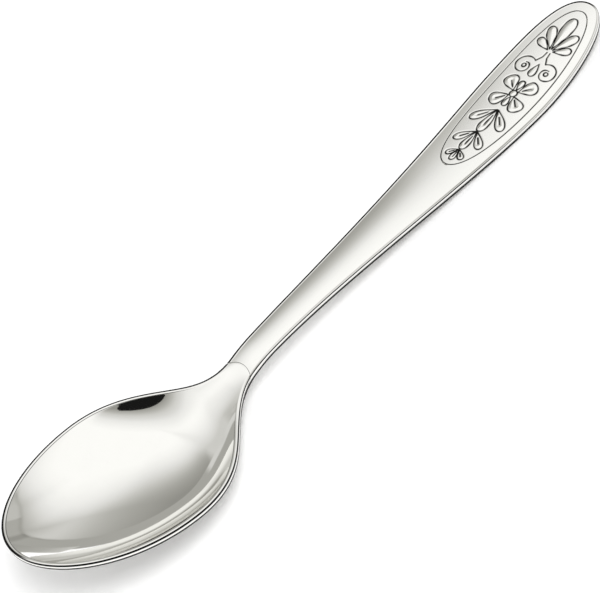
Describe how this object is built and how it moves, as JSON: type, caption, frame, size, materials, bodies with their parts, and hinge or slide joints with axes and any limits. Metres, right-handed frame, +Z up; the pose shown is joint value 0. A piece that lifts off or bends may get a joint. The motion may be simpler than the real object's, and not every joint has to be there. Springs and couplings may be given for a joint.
{
  "type": "dessert spoon",
  "caption": "Dessert spoon with an egg-shaped lipped bowl, slim crowned stem flaring to a rounded end, and a relief plate let into the end of the handle.",
  "frame": {"origin": "centre of the bounding box's bottom, on the surface that the spoon rests on", "axes": "+X along the spoon from the bowl's tip to the handle's end, +Z up out of the bowl, +Y to the left of a person looking along +X"},
  "size_m": [0.18, 0.0404, 0.0159],
  "materials": {
    "bowl_metal": "mirror-polished stainless steel",
    "handle_metal": "mirror-polished stainless steel",
    "badge_metal": "struck and polished, darker in the hollows"
  },
  "bodies": {
    "root": {"bowl": "bowl_metal", "handle": "handle_metal", "badge": "badge_metal"}
  },
  "joints": []
}
